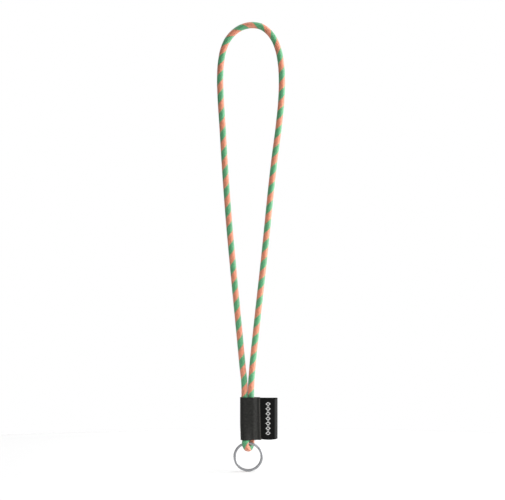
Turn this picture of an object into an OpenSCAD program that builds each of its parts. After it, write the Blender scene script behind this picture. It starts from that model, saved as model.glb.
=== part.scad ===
// Hanging neck lanyard: one round braided cord, a sewn webbing label that joins it,
// a satin flag caught in the label's seam, and a split ring on the cord's small loop.
// Frame: X to the wearer's left, Z up, the label's face looks along -Y.
// The origin is the inside top of the neck loop, where the lanyard hangs.

/* [Cord] */
// Diameter of the braided cord
cord_d = 6.5; // [6:0.1:6.8]
// Wall of the braided sheath round the core yarns
sheath_wall = 0.9; // [0.6:0.1:1.2]

/* [Label] */
// Height of the webbing label along the cord
label_h = 43.3; // [36:0.1:43.3]
// Thickness of one layer of webbing
web_t = 0.8; // [0.6:0.1:0.9]
// How far the webbing bulges at its lower mouth, where the two legs part
mouth_bulge = 2.1; // [2:0.1:2.5]
// Spacing of the stitches in the edge seam
stitch_pitch = 2.3; // [2:0.1:3]

/* [Flag] */
// Width of the satin flag outside the label's seam
flag_w = 17.4; // [14:0.1:20]
// Thickness of one layer of satin ribbon
satin_t = 0.4; // [0.3:0.05:0.45]
// Thickness of the whole folded flag
flag_t = 1.9; // [1.6:0.1:2]

/* [Split ring] */
// Outer diameter of the split ring
ring_d = 30; // [29:0.1:30]
// Width of the flat ring wire across the ring
wire_w = 2.4; // [2:0.1:2.5]
// Thickness of one turn of the wire
wire_t = 1.1; // [0.9:0.05:1.1]

/* [Hidden] */

SIDES = 12;
CORE_GAP = 0.05;
cord_r = cord_d / 2;
core_r = cord_r - sheath_wall - CORE_GAP;

// Levels and cord places at the label
LABEL_TOP = -376.5;
label_bottom = LABEL_TOP - label_h;
LEFT_X = -7.1;
RIGHT_X = -0.6;
cord_gap = 0.1;
wrap_r = cord_r + cord_gap + web_t;

// Edge seam, where the two ends of the webbing close on the flag
SEAM_X = 8.1;
EDGE_X = 9.2;
STRIP_X = 6.4;
seam_half = web_t + 0.55;

// Split ring on the cord loop
RING_X = -3.4;
RING_Z = -437.1;
ring_r = ring_d / 2;
TURN_GAP = 0.1;
turn_mid = (wire_t + TURN_GAP) / 2;

// Neck cord's middle line, [x, z], from the label up the left leg,
// over the neck and down the right leg to the label
NECK = [
    [LEFT_X, LABEL_TOP], [-7.2, -364], [-9.1, -345], [-12.4, -310], [-15.8, -275],
    [-19.1, -240], [-22.3, -205], [-25.1, -170], [-27.5, -135], [-29.6, -100],
    [-31.4, -72], [-32, -50], [-31, -34], [-28.4, -21], [-24, -11.2], [-17.8, -4.1],
    [-9.9, 1], [0.6, 3.3], [10.6, 1.4], [18, -4.2], [23.6, -12], [27.5, -22.3],
    [30, -35.5], [31, -51], [30.5, -72], [27.8, -100], [23.3, -135], [19.4, -170],
    [15.9, -205], [12.3, -240], [8.4, -275], [4.6, -310], [1, -345], [-0.35, -364],
    [RIGHT_X, LABEL_TOP]
];

// Cord stretches inside the label: [x, y, z, half width, half depth, turn of the width]
RUN = [
    [RIGHT_X, 0, LABEL_TOP, cord_r, cord_r, 0],
    [RIGHT_X, 0, -400, cord_r, cord_r, 0],
    [RIGHT_X, 0.5, -406, 3.25, 3.1, 0],
    [RIGHT_X, 1.7, -412.5, 3.3, 2.75, 0],
    [-0.7, 2.8, label_bottom, 3.8, 2.4, 0]
];
UPPER_END = [
    [LEFT_X, 0, LABEL_TOP, cord_r, cord_r, 0],
    [LEFT_X, 0, -396.5, cord_r, cord_r, 0]
];
LOWER_END = [
    [LEFT_X, 0, -399.5, cord_r, cord_r, 0],
    [-7, -0.5, -406, 3.25, 3.1, 0],
    [-6.7, -1.7, -412.5, 3.3, 2.75, 0],
    [-5.85, -2.8, label_bottom, 3.75, 2.4, 0]
];

// Small loop through the ring, from the front leg under the ring's wire to the back leg
LOOP = [
    [-5.85, -2.8, label_bottom, 3.75, 2.4, 0],
    [-6.3, -4.5, -422.2, 3.6, 2.5, -8],
    [-6.2, -4.8, -424.6, 3.4, 2.8, -16],
    [-5.3, -3.7, -427.3, 3.45, 3.05, -26],
    [-3.2, 0, -428.8, 3.6, 3.15, -31],
    [-1.25, 3.9, -427.3, 3.5, 2.85, -26],
    [-0.6, 4.8, -424.6, 3.4, 2.8, -16],
    [-0.5, 4.5, -422.2, 3.6, 2.5, -8],
    [-0.7, 2.8, label_bottom, 3.8, 2.4, 0]
];

// ---- sweeping a tube along a route ----

function unit(v) = v / norm(v);

// Direction of a route at point i; both ends of every stretch stand upright
function heading(p, i) =
    i == 0 ? [0, 0, sign(p[1][2] - p[0][2])]
    : i == len(p) - 1 ? [0, 0, sign(p[i][2] - p[i - 1][2])]
    : unit(p[i + 1] - p[i - 1]);

// One ring of points: half width a along the reference, half depth b across it
function section(c, t, ref, a, b) =
    let (n = unit(ref - (ref * t) * t), m = cross(t, n), out = 1 / cos(90 / SIDES))
    [for (k = [0 : SIDES - 1])
        let (u = 360 * (k + 0.5) / SIDES)
        c + out * (a * cos(u) * n + b * sin(u) * m)];

// Rings along a stretch, shrunk by an inset, such as the sheath's wall
function rings(s, inset) =
    let (p = [for (q = s) [q[0], q[1], q[2]]])
    [for (i = [0 : len(s) - 1])
        let (ref = [cos(s[i][5]), sin(s[i][5]), 0])
        section(p[i], heading(p, i), ref, s[i][3] - inset, s[i][4] - inset)];

// Triangles between ring i and ring i + 1 of a tube whose rings start at point base
function skin(base, count, flip) =
    [for (i = [0 : count - 2], k = [0 : SIDES - 1])
        let (a = base + i * SIDES + k, b = base + i * SIDES + (k + 1) % SIDES)
        each flip ? [[a, a + SIDES, b + SIDES], [a, b + SIDES, b]]
                  : [[a, b, b + SIDES], [a, b + SIDES, a + SIDES]]];

// Ring-shaped end between an outer and an inner ring of points
function rim(outer, inner, flip) =
    [for (k = [0 : SIDES - 1])
        let (j = (k + 1) % SIDES)
        flip ? [outer + k, inner + k, inner + j, outer + j]
             : [outer + k, outer + j, inner + j, inner + k]];

module rod(s, inset) {
    r = rings(s, inset);
    last = (len(s) - 1) * SIDES;
    polyhedron(
        points = [for (ring = r) each ring],
        faces = concat(
            skin(0, len(s), true),
            [[for (k = [0 : SIDES - 1]) k]],
            [[for (k = [SIDES - 1 : -1 : 0]) last + k]]
        )
    );
}

module tube(s, wall) {
    outer = rings(s, 0);
    inner = rings(s, wall);
    count = len(s) * SIDES;
    last = count - SIDES;
    polyhedron(
        points = concat([for (ring = outer) each ring], [for (ring = inner) each ring]),
        faces = concat(
            skin(0, len(s), true),
            skin(count, len(s), false),
            rim(0, count, false),
            rim(last, count + last, true)
        )
    );
}

// The neck route as a stretch: its reference lies across the loop's flat plane
function neck_heading(i) =
    let (p = [for (q = NECK) [q[0], 0, q[1]]])
    heading(p, i);

function neck_rings(inset) =
    [for (i = [0 : len(NECK) - 1])
        let (c = [NECK[i][0], 0, NECK[i][1]])
        section(c, neck_heading(i), [0, 1, 0], cord_r - inset, cord_r - inset)];

// ---- the cord ----

module neck_cord() {
    outer = neck_rings(0);
    inner = neck_rings(sheath_wall);
    count = len(NECK) * SIDES;
    last = count - SIDES;
    color("#E27F5B")
        polyhedron(
            points = concat([for (r = outer) each r], [for (r = inner) each r]),
            faces = concat(
                skin(0, len(NECK), true),
                skin(count, len(NECK), false),
                rim(0, count, false),
                rim(last, count + last, true)
            )
        );
}

module neck_core() {
    last = (len(NECK) - 1) * SIDES;
    color("#E8E4DA")
        polyhedron(
            points = [for (r = neck_rings(sheath_wall + CORE_GAP)) each r],
            faces = concat(
                skin(0, len(NECK), true),
                [[for (k = [0 : SIDES - 1]) k]],
                [[for (k = [SIDES - 1 : -1 : 0]) last + k]]
            )
        );
}

module inner_cord() {
    color("#46AE70")
        for (s = [RUN, UPPER_END, LOWER_END]) tube(s, sheath_wall);
}

module inner_core() {
    color("#E8E4DA")
        for (s = [RUN, UPPER_END, LOWER_END]) rod(s, sheath_wall + CORE_GAP);
}

module ring_loop() {
    color("#46AE70") tube(LOOP, sheath_wall);
}

module ring_loop_core() {
    color("#E8E4DA") rod(LOOP, sheath_wall + CORE_GAP);
}

// Melted tips that keep the two cut ends from fraying
module sealed_ends() {
    tip_t = 0.8;
    color("#7A5A44")
        for (z = [-396.5 - tip_t, -399.5])
            translate([LEFT_X, 0, z]) cylinder(r = cord_r - 0.15, h = tip_t, $fn = 48);
}

// Two zigzag tacks that sew each cut end to the leg that runs through
module joining_stitch() {
    thread_r = 0.09;
    post_r = 0.13;
    step = 1.4;
    // Pulled tight, the thread sinks into the sheath and clears the webbing
    reach = cord_r - 0.05;
    color("#151515")
        for (top = [-384, -403], i = [0 : 3], side = [-1, 1]) {
            z = top - i * step;
            translate([LEFT_X, side * reach, z])
                rotate([0, 90, 0]) cylinder(r = thread_r, h = RIGHT_X - LEFT_X, $fn = 16);
            for (x = [LEFT_X, RIGHT_X])
                translate([x, 0, z])
                    rotate([90, 0, 0])
                        cylinder(r = post_r, h = 2 * reach + 0.14, center = true, $fn = 16);
        }
}

// ---- the webbing label ----

function ease(t) = let (c = max(0, min(1, t))) c * c * (3 - 2 * c);

// How much of the mouth's bulge is there at height z
function bulge(z) = mouth_bulge * ease((-400 - z) / 19.8);

// Half thickness of the label at x; side is -1 at the front and 1 at the back.
// The front bulges over the left leg and the back over the right leg.
function half_t(x, z, side) =
    let (
        lean = side < 0 ? 1 - ease((x + 6) / 7) : ease((x + 8) / 7),
        full = wrap_r + bulge(z) * lean
    )
    full + (seam_half - full) * ease((x - 1.4) / (STRIP_X - 1.4));

// Outer outline of the webbing at height z, from the front edge round to the back edge
FACE_X = [EDGE_X, 7.8, STRIP_X, 5.4, 4.4, 3.4, 2.4, 1.4, 0.4, -1.4, -3.4, -5.4];
function outline(z) = concat(
    [for (x = FACE_X) [x, -half_t(x, z, -1)]],
    [for (u = [0 : 15 : 180])
        let (h = u < 90 ? half_t(LEFT_X, z, -1) : half_t(LEFT_X, z, 1))
        [LEFT_X - wrap_r * sin(u), -h * cos(u)]],
    [for (i = [len(FACE_X) - 1 : -1 : 0]) [FACE_X[i], half_t(FACE_X[i], z, 1)]]
);

// The same outline moved inwards by one layer of webbing
function inset_line(p) =
    [for (i = [0 : len(p) - 1])
        let (
            d = i == 0 || i == len(p) - 1 ? [0, 0] : unit(p[i + 1] - p[i - 1]),
            n = i == 0 ? [0, 1] : i == len(p) - 1 ? [0, -1] : [d[1], -d[0]]
        )
        p[i] + n * web_t];

module webbing_wrap() {
    levels = [LABEL_TOP, -400, -404, -408, -412, -416, label_bottom];
    loops = [for (z = levels)
        let (p = outline(z), q = inset_line(p), n = len(p))
        [for (v = concat(p, [for (i = [n - 1 : -1 : 0]) q[i]])) [v[0], v[1], z]]];
    n = len(loops[0]);
    half = n / 2;
    last = (len(levels) - 1) * n;
    color("#353533")
        polyhedron(
            points = [for (ring = loops) each ring],
            faces = concat(
                [for (i = [0 : len(levels) - 2], k = [0 : n - 1])
                    let (a = i * n + k, b = i * n + (k + 1) % n)
                    [a, a + n, b + n, b]],
                [for (k = [0 : half - 2]) [k, k + 1, n - 2 - k, n - 1 - k]],
                [for (k = [0 : half - 2]) [last + n - 1 - k, last + n - 2 - k, last + k + 1, last + k]]
            )
        );
}

// One lockstitch row through both layers of webbing and the flag between them
module seam_thread() {
    thread_w = 0.4;
    thread_h = 0.3;
    bar = stitch_pitch - 0.7;
    count = floor((label_h - 3) / stitch_pitch);
    first = LABEL_TOP - (label_h - count * stitch_pitch) / 2;
    color("#1B1B1B") {
        for (i = [0 : count - 1], side = [-1, 1])
            translate([SEAM_X, side * (seam_half + thread_h / 2), first - (i + 0.5) * stitch_pitch])
                cube([thread_w, thread_h, bar], center = true);
        for (i = [0 : count - 1], end = [-1, 1])
            translate([SEAM_X, 0, first - (i + 0.5) * stitch_pitch + end * (bar / 2 - 0.2)])
                rotate([90, 0, 0])
                    cylinder(r = 0.14, h = 2 * seam_half + thread_h, center = true, $fn = 16);
    }
}

// ---- the satin flag ----

FLAG_X = 9.9;
flag_end = EDGE_X + flag_w;
flag_top = LABEL_TOP - 0.3;
flag_h = label_h - 0.6;

// The part of the ribbon that is sewn into the seam, two layers thick
module flag_root() {
    color("#141414")
        for (y = [0.08, -0.08 - satin_t])
            translate([STRIP_X, y, flag_top - flag_h]) cube([EDGE_X - STRIP_X, satin_t, flag_h]);
}

// Ribbon profile: layers pressed together at the seam, open towards the fold
module ribbon_outline(half, start_x, start_half) {
    fold_x = flag_end - flag_t / 2;
    polygon(concat(
        [[start_x, -start_half], [14.5, -half], [fold_x, -half]],
        [for (u = [-80 : 10 : 80]) [fold_x + half * cos(u), half * sin(u)]],
        [[fold_x, half], [14.5, half], [start_x, start_half]]
    ));
}

module flag_label() {
    color("#161616")
        translate([0, 0, flag_top - flag_h])
            linear_extrude(flag_h)
                difference() {
                    union() {
                        ribbon_outline(flag_t / 2, FLAG_X, 0.6);
                        translate([FLAG_X, 0]) circle(r = 0.6, $fn = 48);
                    }
                    ribbon_outline(flag_t / 2 - satin_t, 12, 0.02);
                }
}

// A plain woven ornament: a column of diamonds with short bars between them
module flag_mark() {
    mark_x = 16.9;
    raise = 0.08;
    half_w = 2.3;
    half_h = 1.9;
    count = 7;
    pitch = 4.97;
    mid_z = LABEL_TOP - label_h / 2;
    color("#F2F2F0")
        translate([mark_x, -flag_t / 2, mid_z])
            rotate([90, 0, 0])
                for (i = [0 : count - 1]) {
                    z = (i - (count - 1) / 2) * pitch;
                    translate([0, z, 0])
                        linear_extrude(raise)
                            polygon([[half_w, 0], [0, half_h], [-half_w, 0], [0, -half_h]]);
                    if (i < count - 1)
                        translate([0, z + pitch / 2, raise / 2])
                            cube([half_w, 0.4, raise], center = true);
                }
}

// ---- the split ring ----

SPLIT_AT = 40;
SPLIT_SPAN = 24;
END_GAP = 3;

// Flat wire with broken edges, thick along the ring's axis and centred at depth y
module wire_profile(y, thick, inset) {
    edge = 0.3;
    w = wire_w - 2 * inset;
    h = thick - 2 * inset;
    translate([ring_r - wire_w + inset, y - h / 2])
        polygon([
            [edge, 0], [w - edge, 0], [w, edge], [w, h - edge],
            [w - edge, h], [edge, h], [0, h - edge], [0, edge]
        ]);
}

// Part of a turn, from angle a0 through span degrees
module turn(y, thick, inset, a0, span) {
    rotate([0, 0, a0]) rotate_extrude(angle = span, $fn = 96) wire_profile(y, thick, inset);
}

// The stretch where the wire steps from one turn to the other: a slanting slice,
// drawn a hair thinner than the turns so that it ends inside them
module crossover() {
    hair = 0.03;
    lap = 2;
    step_len = PI / 180 * SPLIT_SPAN * (ring_r - wire_w / 2);
    slant = atan2(2 * turn_mid, step_len);
    intersection() {
        turn(0, 2 * wire_t + TURN_GAP, hair, SPLIT_AT - lap, SPLIT_SPAN + 2 * lap);
        rotate([0, 0, SPLIT_AT + SPLIT_SPAN / 2])
            translate([ring_r, 0, 0])
                rotate([slant, 0, 0])
                    cube([4 * wire_w, 2 * step_len, wire_t - 4 * hair], center = true);
    }
}

// Two turns side by side, whose wire ends stop just short of the crossover
module split_ring() {
    span = 360 - SPLIT_SPAN - END_GAP;
    color("#9A9DA0")
        translate([RING_X, 0, RING_Z])
            rotate([90, 0, 0]) {
                turn(turn_mid, wire_t, 0, SPLIT_AT + SPLIT_SPAN, span);
                turn(-turn_mid, wire_t, 0, SPLIT_AT + SPLIT_SPAN + END_GAP, span);
                crossover();
            }
}

neck_cord();
neck_core();
inner_cord();
inner_core();
sealed_ends();
joining_stitch();
webbing_wrap();
seam_thread();
flag_root();
flag_label();
flag_mark();
ring_loop();
ring_loop_core();
split_ring();
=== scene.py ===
"""Visible pieces of a braided neck lanyard, made round its CAD frame: the cord with its
small ring loop, the sewn webbing label, the satin flag with its woven ornament, and the
split ring. Lengths are in metres. X is to the right, Z is up and the label faces -Y."""

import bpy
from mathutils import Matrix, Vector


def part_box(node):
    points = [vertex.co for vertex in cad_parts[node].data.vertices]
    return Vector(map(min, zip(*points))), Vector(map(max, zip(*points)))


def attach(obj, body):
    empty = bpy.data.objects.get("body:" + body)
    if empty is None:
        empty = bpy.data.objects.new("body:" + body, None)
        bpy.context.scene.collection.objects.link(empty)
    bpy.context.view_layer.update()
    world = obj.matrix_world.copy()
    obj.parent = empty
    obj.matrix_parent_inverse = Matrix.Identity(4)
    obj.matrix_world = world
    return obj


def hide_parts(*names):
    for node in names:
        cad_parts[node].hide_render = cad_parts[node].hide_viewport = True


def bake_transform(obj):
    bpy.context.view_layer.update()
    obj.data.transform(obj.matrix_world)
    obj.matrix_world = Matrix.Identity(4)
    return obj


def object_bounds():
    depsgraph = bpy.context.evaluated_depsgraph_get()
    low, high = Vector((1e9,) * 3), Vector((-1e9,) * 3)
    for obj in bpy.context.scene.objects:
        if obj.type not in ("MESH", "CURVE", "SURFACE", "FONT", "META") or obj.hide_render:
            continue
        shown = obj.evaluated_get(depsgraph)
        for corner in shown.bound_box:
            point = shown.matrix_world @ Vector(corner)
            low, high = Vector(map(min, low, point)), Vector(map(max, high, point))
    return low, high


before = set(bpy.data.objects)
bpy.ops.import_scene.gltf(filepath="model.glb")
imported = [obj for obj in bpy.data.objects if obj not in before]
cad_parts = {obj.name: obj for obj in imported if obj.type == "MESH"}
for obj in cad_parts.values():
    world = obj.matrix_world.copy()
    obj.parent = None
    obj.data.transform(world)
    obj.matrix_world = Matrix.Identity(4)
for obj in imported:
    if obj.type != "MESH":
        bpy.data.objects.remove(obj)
CAD_BOX = [list(corner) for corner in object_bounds()]

import math

import bpy
import numpy as np
from mathutils import Vector

bl_info = {
    "name": "Braided Neck Lanyard",
    "version": (1, 0, 0),
    "blender": (4, 5, 0),
    "location": "3D View > Sidebar > Lanyard",
    "description": "Makes the cord, label, flag and split ring of a neck lanyard",
    "category": "Object",
}

MM = 0.001

# The neck cord's middle line, [x, z], up the left leg, over the neck and down the right
NECK = [
    [-0.0071, -0.3765], [-0.0072, -0.364], [-0.0091, -0.345], [-0.0124, -0.310],
    [-0.0158, -0.275], [-0.0191, -0.240], [-0.0223, -0.205], [-0.0251, -0.170],
    [-0.0275, -0.135], [-0.0296, -0.100], [-0.0314, -0.072], [-0.032, -0.050],
    [-0.031, -0.034], [-0.0284, -0.021], [-0.024, -0.0112], [-0.0178, -0.0041],
    [-0.0099, 0.001], [0.0006, 0.0033], [0.0106, 0.0014], [0.018, -0.0042],
    [0.0236, -0.012], [0.0275, -0.0223], [0.030, -0.0355], [0.031, -0.051],
    [0.0305, -0.072], [0.0278, -0.100], [0.0233, -0.135], [0.0194, -0.170],
    [0.0159, -0.205], [0.0123, -0.240], [0.0084, -0.275], [0.0046, -0.310],
    [0.001, -0.345], [-0.00035, -0.364], [-0.0006, -0.3765],
]

# Stretches held in the label, and the ring's loop from its front leg to its back leg:
# [x, y, z, half width, half depth, turn of the width in degrees]
RUN = [
    [-0.0006, 0, -0.3765, 0.00325, 0.00325, 0],
    [-0.0006, 0, -0.400, 0.00325, 0.00325, 0],
    [-0.0006, 0.0005, -0.406, 0.00325, 0.0031, 0],
    [-0.0006, 0.0017, -0.4125, 0.0033, 0.00275, 0],
    [-0.0007, 0.0028, -0.4198, 0.0038, 0.0024, 0],
]
UPPER_END = [
    [-0.0071, 0, -0.3765, 0.00325, 0.00325, 0],
    [-0.0071, 0, -0.386, 0.00325, 0.00325, 0],
    [-0.0071, 0, -0.3965, 0.00325, 0.00325, 0],
]
LOWER_END = [
    [-0.0071, 0, -0.3995, 0.00325, 0.00325, 0],
    [-0.007, -0.0005, -0.406, 0.00325, 0.0031, 0],
    [-0.0067, -0.0017, -0.4125, 0.0033, 0.00275, 0],
    [-0.00585, -0.0028, -0.4198, 0.00375, 0.0024, 0],
]
LOOP = [
    [-0.00585, -0.0028, -0.4198, 0.00375, 0.0024, 0],
    [-0.0063, -0.0045, -0.4222, 0.0036, 0.0025, -8],
    [-0.0062, -0.0048, -0.4246, 0.0034, 0.0028, -16],
    [-0.0053, -0.0037, -0.4273, 0.00345, 0.00305, -26],
    [-0.0032, 0, -0.4288, 0.0036, 0.00315, -31],
    [-0.00125, 0.0039, -0.4273, 0.0035, 0.00285, -26],
    [-0.0006, 0.0048, -0.4246, 0.0034, 0.0028, -16],
    [-0.0005, 0.0045, -0.4222, 0.0036, 0.0025, -8],
    [-0.0007, 0.0028, -0.4198, 0.0038, 0.0024, 0],
]

# Where along each stretch the coral band comes to the front, as a share of one lead
NECK_PHASE = 0.131
LOOP_PHASE = 0.62
INNER_PHASE = 0.381


# ---- colours and materials ----

def srgb(code):
    """Linear colour, with full alpha, of an sRGB hex value."""
    parts = [int(code[i:i + 2], 16) / 255 for i in (1, 3, 5)]
    linear = [c / 12.92 if c <= 0.04045 else ((c + 0.055) / 1.055) ** 2.4 for c in parts]
    return (*linear, 1.0)


def fill(tree, node, inputs):
    """Fills a node's inputs with values or with (node, output) pairs."""
    for name, value in inputs.items():
        if isinstance(value, tuple) and isinstance(value[0], bpy.types.Node):
            tree.links.new(value[0].outputs[value[1]], node.inputs[name])
        else:
            node.inputs[name].default_value = value


def add_node(tree, kind, inputs=None, **settings):
    """Adds a node, gives it its settings and fills its inputs."""
    made = tree.nodes.new(kind)
    for name, value in settings.items():
        setattr(made, name, value)
    fill(tree, made, inputs or {})
    return made


def add_bump(tree, height, strength, distance):
    """Bump from a texture's Fac output. The distance is in metres."""
    return add_node(tree, "ShaderNodeBump", {
        "Height": (height, "Fac"), "Strength": strength, "Distance": distance,
    })


def add_mix(tree, share, first, second):
    """Mix of two colours. The share of the second is a (node, output) pair."""
    return add_node(tree, "ShaderNodeMix", {0: share, 6: first, 7: second}, data_type="RGBA")


def shade(colour, share):
    """A colour made darker or paler, with full alpha."""
    return tuple(c * share for c in colour[:3]) + (1.0,)


def new_material(name, constants):
    """A material with its shader's own sockets set, its node tree and its shader."""
    material = bpy.data.materials.new(name)
    material.use_nodes = True
    shader = material.node_tree.nodes["Principled BSDF"]
    for socket, value in constants.items():
        shader.inputs[socket].default_value = value
    return material, material.node_tree, shader


def wave_scale(pitch):
    """Scale of a Wave texture whose bands are that far apart."""
    return math.pi / 10 / pitch


def yarn_material(name, colour, tint):
    """Dyed polyester yarn, braided: matt, with a soft pale sheen at its edges, and fine
    filament bundles that run along it. The tint makes its dye darker or paler."""
    dyed = shade(colour, tint)
    material, tree, shader = new_material(name, {
        "Base Color": dyed,
        "Roughness": 0.5,
        "Specular IOR Level": 0.6,
        "Sheen Weight": 0.75,
        "Sheen Roughness": 0.5,
    })
    place = add_node(tree, "ShaderNodeUVMap", uv_map="yarn")
    # Filament bundles 0.3 mm apart, drawn coarser than the real 0.02 mm filaments
    bundles = add_node(tree, "ShaderNodeTexWave", {
        "Vector": (place, "UV"), "Scale": wave_scale(0.3), "Distortion": 1.2,
        "Detail": 2.0, "Detail Scale": 0.8,
    }, wave_type="BANDS", bands_direction="X")
    bump = add_bump(tree, bundles, 0.45, 0.05 * MM)
    fill(tree, shader, {"Normal": (bump, "Normal")})
    return material


def filler_material(colour):
    """Undyed polyester filler yarn, soft and dull, in loosely twisted plies."""
    material, tree, shader = new_material("undyed_polyester_filler", {
        "Roughness": 0.85, "Specular IOR Level": 0.2, "Sheen Weight": 0.3,
    })
    place = add_node(tree, "ShaderNodeUVMap", uv_map="yarn")
    # Plies 0.6 mm apart
    plies = add_node(tree, "ShaderNodeTexWave", {
        "Vector": (place, "UV"), "Scale": wave_scale(0.6), "Distortion": 2.0,
    }, wave_type="BANDS", bands_direction="DIAGONAL")
    # Painted shade: darker cream in the grooves between the plies, where the bump is low
    tone = add_mix(tree, (plies, "Fac"), srgb("#CFCBBE"), colour)
    bump = add_bump(tree, plies, 0.5, 0.08 * MM)
    fill(tree, shader, {"Base Color": (tone, 2), "Normal": (bump, "Normal")})
    return material


def melted_material():
    """Polyester melted with a hot blade: both dyes run together into a brown, glassy and
    lumpy skin with a few darker scorched spots."""
    material, tree, shader = new_material("melted_polyester", {"IOR": 1.57})
    place = add_node(tree, "ShaderNodeTexCoord")
    lumps = add_node(tree, "ShaderNodeTexNoise", {
        "Vector": (place, "Object"), "Scale": 1 / (1.6 * MM), "Detail": 3.0,
    })
    tone = add_node(tree, "ShaderNodeValToRGB", {"Fac": (lumps, "Fac")})
    tone.color_ramp.elements[0].position = 0.35
    tone.color_ramp.elements[0].color = srgb("#3E2B22")
    tone.color_ramp.elements[1].position = 0.65
    tone.color_ramp.elements[1].color = srgb("#8A6A4C")
    gloss = add_node(tree, "ShaderNodeMapRange", {
        "Value": (lumps, "Fac"), "To Min": 0.25, "To Max": 0.5,
    })
    bump = add_bump(tree, lumps, 0.7, 0.2 * MM)
    fill(tree, shader, {
        "Base Color": (tone, "Color"), "Roughness": (gloss, "Result"), "Normal": (bump, "Normal"),
    })
    return material


def thread_material(name, colour):
    """Spun polyester sewing thread: matt, slightly hairy, with its ply twist showing as
    slanting lines along each stitch."""
    material, tree, shader = new_material(name, {
        "Roughness": 0.62, "Specular IOR Level": 0.35, "Sheen Weight": 0.25,
    })
    place = add_node(tree, "ShaderNodeTexCoord")
    slant = add_node(tree, "ShaderNodeMapping", {
        "Vector": (place, "Object"), "Rotation": (0.0, math.radians(35), 0.0),
    })
    # Ply twist 0.35 mm apart; the colour follows the bump, darker in its grooves as painted shade
    plies = add_node(tree, "ShaderNodeTexWave", {
        "Vector": (slant, "Vector"), "Scale": wave_scale(0.35 * MM), "Distortion": 0.6,
    }, wave_type="BANDS", bands_direction="Z")
    # Painted shade: the thread is 0.6 as bright in the grooves between its plies
    dark = shade(colour, 0.6)
    tone = add_mix(tree, (plies, "Fac"), dark, colour)
    bump = add_bump(tree, plies, 0.6, 0.05 * MM)
    fill(tree, shader, {"Base Color": (tone, 2), "Normal": (bump, "Normal")})
    return material


def webbing_material(label, length):
    """Woven polyester webbing, dyed charcoal: dull, with each yarn a slightly different
    grey and a paler woven edge beside the seam."""
    material, tree, shader = new_material("woven_polyester_webbing", {
        "Specular IOR Level": 0.2, "Sheen Weight": 0.1, "Sheen Roughness": 0.5,
    })
    weave = add_node(tree, "ShaderNodeUVMap", uv_map="weave")
    # Filaments of the yarns, a third of the weave's pitch apart
    ends = add_node(tree, "ShaderNodeTexWave", {
        "Vector": (weave, "UV"), "Scale": wave_scale(label.weave_pitch / MM / 3),
        "Distortion": 2.5, "Detail": 2.0,
    }, wave_type="BANDS", bands_direction="Y")
    # Dye differs from yarn to yarn, over about two yarns
    dye = add_node(tree, "ShaderNodeTexNoise", {
        "Vector": (weave, "UV"), "Scale": 0.45, "Detail": 3.0, "Roughness": 0.65,
    })
    dye_fac = add_node(tree, "ShaderNodeMapRange", {
        "Value": (dye, "Fac"), "From Min": 0.3, "From Max": 0.7,
    })
    dark, pale = shade(label.webbing_colour, 0.6), shade(label.webbing_colour, 1.45)
    tone = add_mix(tree, (dye_fac, "Result"), dark, pale)
    # The paler woven edge beyond the stitches
    axes = add_node(tree, "ShaderNodeSeparateXYZ", {"Vector": (weave, "UV")})
    middle = add_node(tree, "ShaderNodeMath", {
        0: (axes, "X"), 1: length / MM / 2,
    }, operation="SUBTRACT")
    out = add_node(tree, "ShaderNodeMath", {0: (middle, 0)}, operation="ABSOLUTE")
    edge = add_node(tree, "ShaderNodeMapRange", {
        "Value": (out, 0), "From Min": length / MM / 2 - 1.2,
        "From Max": length / MM / 2 - 0.7,
    })
    both = add_mix(tree, (edge, "Result"), (tone, 2), tuple(label.edge_colour) + (1.0,))
    rough = add_node(tree, "ShaderNodeMapRange", {
        "Value": (ends, "Fac"), "To Min": 0.92, "To Max": 0.74,
    })
    bump = add_bump(tree, ends, 0.5, 0.06 * MM)
    fill(tree, shader, {
        "Base Color": (both, 2), "Roughness": (rough, "Result"), "Normal": (bump, "Normal"),
    })
    return material


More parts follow.
